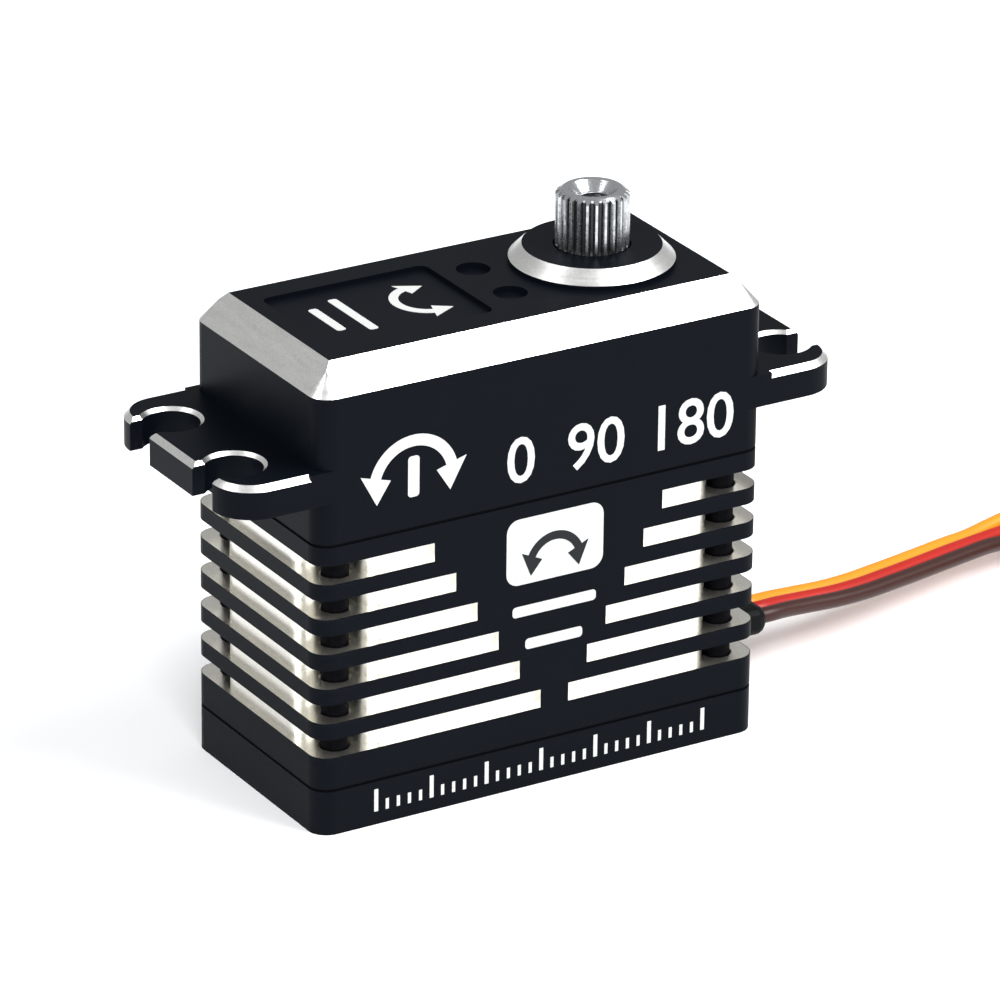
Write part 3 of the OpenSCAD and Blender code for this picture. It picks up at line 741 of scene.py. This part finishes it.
def thread_tree():
    """A ridge that winds along a helix, such as a screw thread."""
    tree = tree_with(
        "thread",
        [
            ("Turns", "Float"),
            ("Radius", "Float"),
            ("Height", "Float"),
            ("Ridge", "Float"),
            ("Base", "Vector"),
            ("Finish", "Material"),
        ],
    )
    nodes, link = tree.nodes, tree.links.new
    given = nodes.new("NodeGroupInput")
    helix = nodes.new("GeometryNodeCurveSpiral")
    helix.inputs["Resolution"].default_value = 32
    section = nodes.new("GeometryNodeCurvePrimitiveCircle")
    section.inputs["Resolution"].default_value = 4
    sweep = nodes.new("GeometryNodeCurveToMesh")
    sweep.inputs["Fill Caps"].default_value = True
    shift = nodes.new("GeometryNodeTransform")
    real = nodes.new("GeometryNodeRealizeInstances")
    paint = nodes.new("GeometryNodeSetMaterial")
    out = nodes.new("NodeGroupOutput")
    link(given.outputs["Turns"], helix.inputs["Rotations"])
    link(given.outputs["Radius"], helix.inputs["Start Radius"])
    link(given.outputs["Radius"], helix.inputs["End Radius"])
    link(given.outputs["Height"], helix.inputs["Height"])
    link(given.outputs["Ridge"], section.inputs["Radius"])
    link(helix.outputs["Curve"], sweep.inputs["Curve"])
    link(section.outputs["Curve"], sweep.inputs["Profile Curve"])
    link(sweep.outputs["Mesh"], shift.inputs["Geometry"])
    link(given.outputs["Base"], shift.inputs["Translation"])
    link(shift.outputs["Geometry"], real.inputs["Geometry"])
    link(real.outputs["Geometry"], paint.inputs["Geometry"])
    link(given.outputs["Finish"], paint.inputs["Material"])
    link(paint.outputs["Geometry"], out.inputs[0])
    return tree


def grown(name, tree, **inputs):
    """Runs a tree on an empty mesh and gives the result as a plain mesh."""
    holder = bpy.data.objects.new(name, bpy.data.meshes.new(name))
    bpy.context.scene.collection.objects.link(holder)
    modifier = holder.modifiers.new("grow", "NODES")
    modifier.node_group = tree
    for item in tree.interface.items_tree:
        if item.in_out == "INPUT" and item.name in inputs:
            modifier[item.identifier] = inputs[item.name]
    depsgraph = bpy.context.evaluated_depsgraph_get()
    mesh = bpy.data.meshes.new_from_object(holder.evaluated_get(depsgraph))
    holder.modifiers.clear()
    bpy.data.objects.remove(holder)
    mesh.name = name
    return mesh


def merged(name, *meshes):
    """One mesh from several; their faces keep their material numbers, but the new mesh has no
    material slots.
    """
    shape = bmesh.new()
    for mesh in meshes:
        shape.from_mesh(mesh)
    return from_bmesh(name, shape)


# ---------------------------------------------------------------- the lead

# Route of the ribbon's middle, in millimetres: x, y, z, degrees turned on edge, spacing of wires
LEAD_ROUTE = (
    (26.05, 0, 5.15, 0, 1),
    (27, 0, 5.15, 0, 1),
    (28.8, 0.4, 4.95, 0, 1),
    (31.5, 0.85, 4.6, 0, 1),
    (34.5, 1.3, 4.25, 0, 1),
    (37.5, 1.9, 4, 0, 1),
    (40.5, 2.65, 3.85, 0, 1),
    (43.5, 3.45, 3.7, 0, 1),
    (46.5, 4.3, 3.55, 0, 1),
    (49.5, 5.15, 3.4, 0, 1),
    (52.5, 6, 3.2, 0, 1),
    (55.5, 6.8, 3, 15, 1),
    (58.5, 7.5, 2.8, 35, 1),
    (61.5, 8.1, 2.6, 55, 1),
    (64.5, 8.6, 2.4, 75, 1),
    (67.5, 9, 2.5, 90, 1),
    (70.5, 9.25, 2.45, 90, 1),
    (73.3, 9.4, 2.45, 90, 1),
    (76, 9.4, 2.45, 90, 1),
)
TAIL_ROUTE = (
    (76, 5.35, 2.45, 90, 1),
    (78, 5.1, 2.45, 90, 1),
    (80, 4, 2.45, 90, 1),
    (82.6, 1, 2.45, 90, 1),
    (83.5, -2.3, 2.5, 85, 1),
    (83.2, -5.3, 2.8, 75, 1),
    (82, -7.8, 3.7, 55, 1),
    (80.2, -9.8, 4.7, 35, 1),
    (78.6, -11.3, 5.4, 15, 1),
    (76.8, -12.4, 5.7, 0, 1.15),
    (74.3, -12.8, 5.7, 0, 1.7),
    (72.4, -12.8, 5.7, 0, 1.95),
    (71.5, -12.8, 5.7, 0, 1.95),
)
COIL_AT = (76, -3.6)
COIL_OUT = 13.0
COIL_TURNS = 3
TURN_PITCH = 1.35
COIL_MIDDLE_Z = 2.45
TURN_STEPS = 64


def smooth(points, parts=6):
    """A Catmull-Rom curve through points of any number of terms."""
    dense = []
    for i in range(len(points) - 1):
        p1, p2 = points[i], points[i + 1]
        p0 = points[i - 1] if i else tuple(2 * a - b for a, b in zip(p1, p2))
        p3 = (
            points[i + 2]
            if i + 2 < len(points)
            else tuple(2 * b - a for a, b in zip(p1, p2))
        )
        for k in range(parts):
            t = k / parts
            dense.append(
                tuple(
                    0.5
                    * (
                        2 * b
                        + (c - a) * t
                        + (2 * a - 5 * b + 4 * c - d) * t * t
                        + (3 * b - a - 3 * c + d) * t * t * t
                    )
                    for a, b, c, d in zip(p0, p1, p2, p3)
                )
            )
    dense.append(tuple(points[-1]))
    return dense


def ribbon_route():
    """The whole route: out of the grommet, round the coil and up over it to the plug."""
    turns = []
    for i in range(1, COIL_TURNS * TURN_STEPS):
        t = i / TURN_STEPS
        r = COIL_OUT - TURN_PITCH * t
        a = math.radians(90 - 360 * t)
        turns.append(
            (
                COIL_AT[0] + r * math.cos(a),
                COIL_AT[1] + r * math.sin(a),
                COIL_MIDDLE_Z,
                90,
                1,
            )
        )
    return smooth(LEAD_ROUTE) + turns + smooth(TAIL_ROUTE)


def wire_path(route, k):
    """One wire of the ribbon: k is 1 for signal, 0 for power and -1 for ground."""
    path = []
    for i, (x, y, z, turn, spread) in enumerate(route):
        before, after = route[max(i - 1, 0)], route[min(i + 1, len(route) - 1)]
        ahead = Vector(after[:3]) - Vector(before[:3])
        ahead.normalize()
        left = Vector((-ahead.y, ahead.x, 0)).normalized()
        up = ahead.cross(left)
        a = math.radians(turn)
        side = math.cos(a) * left + math.sin(a) * up
        path.append((Vector((x, y, z)) + k * WIRE_D * spread * side) * MM)
    return path


def add_wire(name, path, diameter, material):
    """A round wire as a curve of one open spline."""
    curve = bpy.data.curves.new(name, "CURVE")
    curve.dimensions = "3D"
    curve.bevel_depth = diameter / 2
    curve.bevel_resolution = 4
    curve.use_fill_caps = True
    spline = curve.splines.new("POLY")
    spline.points.add(len(path) - 1)
    for point, place in zip(spline.points, path):
        point.co = (*place, 1.0)
    spline.use_smooth = True
    curve.materials.append(material)
    piece = bpy.data.objects.new(name, curve)
    bpy.context.scene.collection.objects.link(piece)
    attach(piece, "case")
    return piece


class SERVO_OT_lay_lead(bpy.types.Operator):
    """Lays the three wires from the grommet round the coil to the plug"""

    bl_idname = "servo.lay_lead"
    bl_label = "Lay the lead"

    def execute(self, context):
        lead = settings("lead")
        route = ribbon_route()
        for wire, k in (("signal", 1), ("power", 0), ("ground", -1)):
            path = wire_path(route, k)
            finish = wire_finish(wire + "_insulation", tuple(getattr(lead, wire)))
            piece = add_wire("lead_" + wire, path, lead.diameter, finish)
            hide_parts(wire + "_wire", wire + "_coil", wire + "_tail")
        return {"FINISHED"}


# ---------------------------------------------------------------- the case's finish


class SERVO_OT_finish_case(bpy.types.Operator):
    """Anodises the three parts of the case and bares their bevels and slots"""

    bl_idname = "servo.finish_case"
    bl_label = "Finish the case"

    def execute(self, context):
        dress(case_finish("anodised_with_bevels", bevel_mask), "upper_case")
        dress(
            case_finish("anodised_with_slots", slot_mask, (1.0, 0.98, 0.92)),
            "middle_case",
        )
        dress(case_finish("anodised_plain", no_mask), "bottom_cover")
        dress(
            moulded_finish("gasket_rubber", (0.002, 0.002, 0.0025), rough=0.7, spec=0.05),
            "upper_gasket",
            "lower_gasket",
            "shaft_seal",
        )
        dress(
            moulded_finish("black_oxide", (0.002, 0.002, 0.003), grain=0.0002, spec=0.03),
            "case_screws",
        )
        return {"FINISHED"}


class SERVO_OT_finish_drive(bpy.types.Operator):
    """Gives the shaft, gears, bearings and motor their metals"""

    bl_idname = "servo.finish_drive"
    bl_label = "Finish the drive"

    def execute(self, context):
        steel = tuple(0.9 * c for c in settings("finish").steel)
        dress(shaft_finish(), "output_shaft")
        dress(
            metal_finish("gear_steel", steel, lines=(0.2, 0.2, 1)),
            "output_gear",
            "second_gear",
            "third_gear",
            "gear_pin_rear",
            "gear_pin_front",
            "motor_shaft",
            "motor_screws",
        )
        dress(metal_finish("brass", (0.72, 0.5, 0.2)), "first_gear", "motor_pinion")
        dress(
            metal_finish("bearing_steel", (0.72, 0.73, 0.75), rough=0.14),
            "upper_bearing_outer",
            "upper_bearing_inner",
            "upper_bearing_balls",
            "lower_bearing_outer",
            "lower_bearing_inner",
            "lower_bearing_balls",
            "motor_front_bearing",
            "motor_rear_bearing",
        )
        dress(metal_finish("plated_can", (0.24, 0.25, 0.27), rough=0.35), "motor_can")
        dress(
            metal_finish("turned_aluminium", (0.62, 0.63, 0.65), rough=0.3),
            "motor_front_bell",
            "motor_rear_bell",
        )
        dress(stack_finish(), "stator_core")
        dress(winding_finish(), "stator_coils")
        dress(
            moulded_finish("ground_magnet", (0.07, 0.07, 0.08), rough=0.3, spec=0.6),
            "rotor_magnet",
        )
        return {"FINISHED"}


class SERVO_OT_finish_electronics(bpy.types.Operator):
    """Gives the board, sensor and terminals their finishes"""

    bl_idname = "servo.finish_electronics"
    bl_label = "Finish the electronics"

    def execute(self, context):
        dress(board_finish(), "main_board")
        dress(
            moulded_finish("chip_epoxy", (0.02, 0.02, 0.022), rough=0.45, grain=0.0002),
            "driver_chips",
            "control_chip",
        )
        dress(
            metal_finish("gold_plate", (0.86, 0.62, 0.24), rough=0.2, grain=0.0002),
            "motor_terminals",
            "sensor_terminals",
            "plug_contacts",
        )
        dress(moulded_finish("sensor_shell", (0.03, 0.035, 0.045)), "sensor_housing")
        dress(moulded_finish("wiper_nylon", (0.62, 0.6, 0.52)), "sensor_wiper")
        dress(
            moulded_finish("capacitor_sleeve", (0.03, 0.05, 0.2), rough=0.3, spec=0.5),
            "capacitor",
        )
        dress(moulded_finish("stub_insulation", (0.4, 0.06, 0.03)), "lead_stubs")
        dress(moulded_finish("tie_nylon", (0.012, 0.012, 0.013), rough=0.4), "coil_tie")
        dress(moulded_finish("plug_nylon", (0.012, 0.012, 0.013), rough=0.38), "plug_housing")
        return {"FINISHED"}


# ---------------------------------------------------------------- prints

FRONT = Sheet((0, -HALF_W, 0), (1, 0, 0), (0, 0, 1))
BACK = Sheet((0, HALF_W, 0), (-1, 0, 0), (0, 0, 1))
LABEL = Sheet((0, 0, TOP_Z - LABEL_DEPTH), (0, 1, 0), (-1, 0, 0))
SCALE_LOW = 1.15
SCALE_LEFT = -15
MARK_WIDTH = 0.28
# Two rows of marks: how many, how far apart, how tall, and how much broader and thicker
SCALE_ROWS = ((31, 1, 0.9, 1.0), (7, 5, 1.9, 1.25))
BADGE = (-3.4, 17.6, 5.4, 23.2)


class SERVO_OT_print_marks(bpy.types.Operator):
    """Prints plain scale numbers, a turning sign and marks on the case"""

    bl_idname = "servo.print_marks"
    bl_label = "Print the marks"

    def side(self, name, sheet, ink, black, thick):
        """The marks of one long side."""
        shape = bmesh.new()
        for outline in turn_sign(-11.8, 28.4, 3.5, 0.95, 118 / 2 + 15):
            add_prism(shape, sheet, outline, 0, thick)
        add_prism(shape, sheet, bar(-12.3, 27.2, -11.3, 30.6, 0.3), 0, thick)
        for text, u in (("0", -2.2), ("90", 4.6), ("180", 13.3)):
            add_numeral(shape, sheet, text, (u, 28), 3.9, 0, thick)
        add_prism(shape, sheet, bar(*BADGE, 1.1), 0, thick)
        for i, half in enumerate((3.8, 2.6)):
            v = 15.3 - 2.9 * i
            add_prism(shape, sheet, bar(1 - half, v - 0.45, 1 + half, v + 0.45, 0.3), 0, thick)
        add_piece(name + "_print", from_bmesh(name, shape), ink)
        shape = bmesh.new()
        for outline in turn_sign(1.0, 18.9, 2.3, 0.7, 66):
            add_prism(shape, sheet, outline, 0, 2 * thick)
        add_piece(name + "_badge_sign", from_bmesh(name, shape), black)
        rows = []
        tree = row_tree()
        for count, step, height, more in SCALE_ROWS:
            mesh = grown(
                name + "_scale",
                tree,
                Count=count,
                First=(SCALE_LEFT * MM, (SCALE_LOW + height / 2) * MM, 0.0),
                Step=(step * MM, 0.0, 0.0),
                Block=(MARK_WIDTH * more * MM, height * MM, thick * more * MM),
                Finish=ink,
            )
            mesh.transform(
                sheet.matrix()
                @ Matrix.Translation((0, 0, thick * more / 2))
                @ Matrix.Scale(1 / MM, 4)
            )
            rows.append(mesh)
        add_piece(name + "_scale", merged(name + "_scale", *rows), ink)

    def execute(self, context):
        look = settings("print")
        thick = look.thickness / MM
        ink = ink_finish("white_ink", tuple(look.ink))
        black = ink_finish("black_ink", (0.008, 0.009, 0.011))
        self.side("front", FRONT, ink, black, thick)
        self.side("back", BACK, ink, black, thick)
        shape = bmesh.new()
        middle = -(LABEL_X[0] + LABEL_X[1]) / 2
        for outline in turn_sign(0, middle - 4.4, 2.6, 0.75, 72):
            add_prism(shape, LABEL, outline, 0, thick)
        for i, half in enumerate((3.4, 2.4)):
            v = middle + 2.2 + 2.3 * i
            add_prism(shape, LABEL, bar(-half, v - 0.4, half, v + 0.4, 0.25), 0, thick)
        add_piece("label_print", from_bmesh("label", shape), ink)
        return {"FINISHED"}


# ---------------------------------------------------------------- small pieces


# The grommet's profile, in millimetres: steps along X and how far each is drawn in
GROMMET_WIDTH = 5.2
GROMMET_CORNER = 0.9
FLANGE_DEEP = 0.8
FLANGE_EDGE = 0.1
GROOVE_STARTS = (3.7, 2.5)
GROOVE_PROFILE = ((0, 0), (0.12, 0.22), (0.38, 0.22), (0.5, 0))
TIP_PROFILE = ((0.8, 0), (0.45, 0.1), (0.18, 0.28), (0.05, 0.5), (0, 0.75))
# The plug's crimps and latches: place along X from the middle, and size, in millimetres
PLUG_PITCH = 2.54
CRIMP_AT, CRIMP_SIZE = 1.0, (3.2, 1.3, 0.04)
LATCH_AT, LATCH_SIZE = 0.4, (2.6, 0.8, 0.12)


def grommet_sections():
    """Rings from the flange on the case, over two grooves, to the rounded tip."""
    high = (GROMMET_HIGH.z - GROMMET_LOW.z) / 2
    flange = GROMMET_HIGH.y
    wide = GROMMET_WIDTH / 2
    start, tip = GROMMET_LOW.x, GROMMET_HIGH.x
    sections = [
        (start, flange - FLANGE_EDGE, high - FLANGE_EDGE),
        (start + FLANGE_EDGE, flange, high),
        (start + FLANGE_DEEP - FLANGE_EDGE, flange, high),
        (start + FLANGE_DEEP, flange - FLANGE_EDGE, high - FLANGE_EDGE),
        (start + FLANGE_DEEP, wide, high),
    ]
    for back in GROOVE_STARTS:
        for x, inset in GROOVE_PROFILE:
            sections.append((tip - back + x, wide - inset, high - inset))
    for back, inset in TIP_PROFILE:
        sections.append((tip - back, wide - inset, high - inset))
    return sections


class SERVO_OT_fit_grommet(bpy.types.Operator):
    """Moulds the rounded grommet, and sets the crimps and latches on the plug"""

    bl_idname = "servo.fit_grommet"
    bl_label = "Fit the grommet and the plug's windows"

    def execute(self, context):
        rubber = moulded_finish(
            "grommet_rubber", (0.003, 0.0035, 0.004), rough=0.45, spec=0.08
        )
        middle_z = (GROMMET_LOW.z + GROMMET_HIGH.z) / 2
        shape = bmesh.new()
        add_loft(shape, grommet_sections(), middle_z, GROMMET_CORNER)
        grommet = add_piece(
            "grommet", from_bmesh("grommet", shape), rubber
        )
        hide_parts("cable_grommet")
        tree = row_tree()
        gold = metal_finish("crimp_gold", (0.86, 0.62, 0.24), rough=0.25, grain=0.0002)
        nylon = moulded_finish("latch_nylon", (0.012, 0.012, 0.013), rough=0.4)
        middle = (PLUG_LOW + PLUG_HIGH) / 2
        first_y = middle.y - PLUG_PITCH
        for name, finish, slot, x, block in (
            ("plug_crimps", gold, "gold_plate", CRIMP_AT, CRIMP_SIZE),
            ("plug_latches", nylon, "plug_plastic", LATCH_AT, LATCH_SIZE),
        ):
            mesh = grown(
                name,
                tree,
                Count=3,
                First=((middle.x + x) * MM, first_y * MM, PLUG_HIGH.z * MM),
                Step=(0.0, PLUG_PITCH * MM, 0.0),
                Block=tuple(size * MM for size in block),
                Finish=finish,
            )
            add_piece(name, mesh, finish)
        return {"FINISHED"}


# The thread of the horn screw's hole, in millimetres
THREAD_PITCH = 0.5
THREAD_DEEP = 7.0
THREAD_TOP = 0.8
THREAD_RIDGE = 0.14
THREAD_CLEAR = 0.02


class SERVO_OT_cut_thread(bpy.types.Operator):
    """Winds the thread in the hole of the output shaft"""

    bl_idname = "servo.cut_thread"
    bl_label = "Cut the horn screw's thread"

    def execute(self, context):
        steel = metal_finish("thread_steel", (0.34, 0.35, 0.36), rough=0.3, grain=0.0002)
        mesh = grown(
            "horn_thread",
            thread_tree(),
            Turns=THREAD_DEEP / THREAD_PITCH,
            Radius=(HORN_HOLE_R + THREAD_CLEAR) * MM,
            Height=THREAD_DEEP * MM,
            Ridge=THREAD_RIDGE * MM,
            Base=(SHAFT_X * MM, 0.0, (SHAFT_HIGH.z - THREAD_TOP - THREAD_DEEP) * MM),
            Finish=steel,
        )
        add_piece("horn_thread", mesh, steel, body="output")
        return {"FINISHED"}


# ---------------------------------------------------------------- stage

CAMERA_AT = (-0.277296, -0.462072, 0.256657)
CAMERA_AZIMUTH = 31.15
CAMERA_ELEVATION = 23.658
CAMERA_ROLL = 0.664
SKY_STRENGTH = 0.45
# Lights: name, place, what it points at, size in metres and watts
LIGHTS = (
    ("key", (0.57, -0.57, 0.9), (0, 0, 0.02), (0.7, 0.7), 18),
    ("front", (-0.5, -1.1, 0.8), (0, 0, 0.02), (0.7, 0.6), 14),
    ("left", (-1.1, 0.1, 0.9), (0, 0, 0.03), (0.6, 0.6), 9),
)


class SERVO_OT_set_stage(bpy.types.Operator):
    """Sets the camera, the plain floor and the soft lights"""

    bl_idname = "servo.set_stage"
    bl_label = "Set the stage"

    def add_light(self, name, place, towards, size, watts):
        light = bpy.data.lights.new(name, "AREA")
        light.shape = "RECTANGLE"
        light.size, light.size_y = size
        light.energy = watts * settings("stage").light
        lamp = bpy.data.objects.new(name, light)
        lamp.location = place
        aim = Vector(towards) - Vector(place)
        lamp.rotation_euler = aim.to_track_quat("-Z", "Y").to_euler()
        bpy.context.scene.collection.objects.link(lamp)

    def execute(self, context):
        scene = context.scene
        stage = settings("stage")
        azimuth, elevation, roll = (
            math.radians(a) for a in (CAMERA_AZIMUTH, CAMERA_ELEVATION, CAMERA_ROLL)
        )
        forward = Vector(
            (
                math.sin(azimuth) * math.cos(elevation),
                math.cos(azimuth) * math.cos(elevation),
                -math.sin(elevation),
            )
        )
        level = Vector((math.cos(azimuth), -math.sin(azimuth), 0))
        above = level.cross(forward)
        right = math.cos(roll) * level + math.sin(roll) * above
        up = -math.sin(roll) * level + math.cos(roll) * above
        data = bpy.data.cameras.new("camera")
        data.sensor_width = 36.0
        data.lens = stage.lens
        data.clip_start, data.clip_end = 0.02, 20.0
        camera = bpy.data.objects.new("camera", data)
        turn = Matrix((right, up, -forward)).transposed().to_4x4()
        camera.matrix_world = Matrix.Translation(CAMERA_AT) @ turn
        scene.collection.objects.link(camera)
        scene.camera = camera

        shape = bmesh.new()
        bmesh.ops.create_grid(shape, x_segments=1, y_segments=1, size=3.0)
        floor_mesh = from_bmesh("floor", shape)
        floor = bpy.data.objects.new("floor", floor_mesh)
        scene.collection.objects.link(floor)
        paper = Finish("floor_paper", Roughness=0.9, Specular_IOR_Level=0.1)
        fibre = paper.noise(0.004)
        colour = tuple(stage.floor)
        paper.set(
            Base_Color=paper.mix(fibre, tuple(0.995 * c for c in colour), colour)
        )
        floor_mesh.materials.append(paper.material)

        world = bpy.data.worlds.new("studio")
        scene.world = world
        world.use_nodes = True
        sky = world.node_tree.nodes["Background"]
        sky.inputs["Color"].default_value = (1.0, 1.0, 1.0, 1.0)
        sky.inputs["Strength"].default_value = SKY_STRENGTH * stage.light
        for lamp in LIGHTS:
            self.add_light(*lamp)
        scene.view_settings.view_transform = "Standard"
        scene.view_settings.look = "None"
        return {"FINISHED"}


# ---------------------------------------------------------------- add-on

STEPS = (
    SERVO_OT_set_stage,
    SERVO_OT_lay_lead,
    SERVO_OT_finish_case,
    SERVO_OT_finish_drive,
    SERVO_OT_finish_electronics,
    SERVO_OT_print_marks,
    SERVO_OT_fit_grommet,
    SERVO_OT_cut_thread,
)
GROUPS = {
    "finish": ServoFinishSettings,
    "print": ServoPrintSettings,
    "lead": ServoLeadSettings,
    "stage": ServoStageSettings,
}


class SERVO_PT_build(bpy.types.Panel):
    """Lists the steps that dress the servo"""

    bl_idname = "SERVO_PT_build"
    bl_label = "Servo"
    bl_space_type = "VIEW_3D"
    bl_region_type = "UI"
    bl_category = "Servo"

    def draw(self, context):
        for step in STEPS:
            self.layout.operator(step.bl_idname)


def register():
    for group in GROUPS.values():
        bpy.utils.register_class(group)
    for name, group in GROUPS.items():
        setattr(
            bpy.types.Scene, "servo_" + name, bpy.props.PointerProperty(type=group)
        )
    for step in STEPS:
        bpy.utils.register_class(step)
    bpy.utils.register_class(SERVO_PT_build)


def unregister():
    bpy.utils.unregister_class(SERVO_PT_build)
    for step in reversed(STEPS):
        bpy.utils.unregister_class(step)
    for name, group in GROUPS.items():
        delattr(bpy.types.Scene, "servo_" + name)
        bpy.utils.unregister_class(group)


def main():
    register()
    for step in STEPS:
        group, name = step.bl_idname.split(".")
        getattr(getattr(bpy.ops, group), name)()


if __name__ == "__main__":
    main()
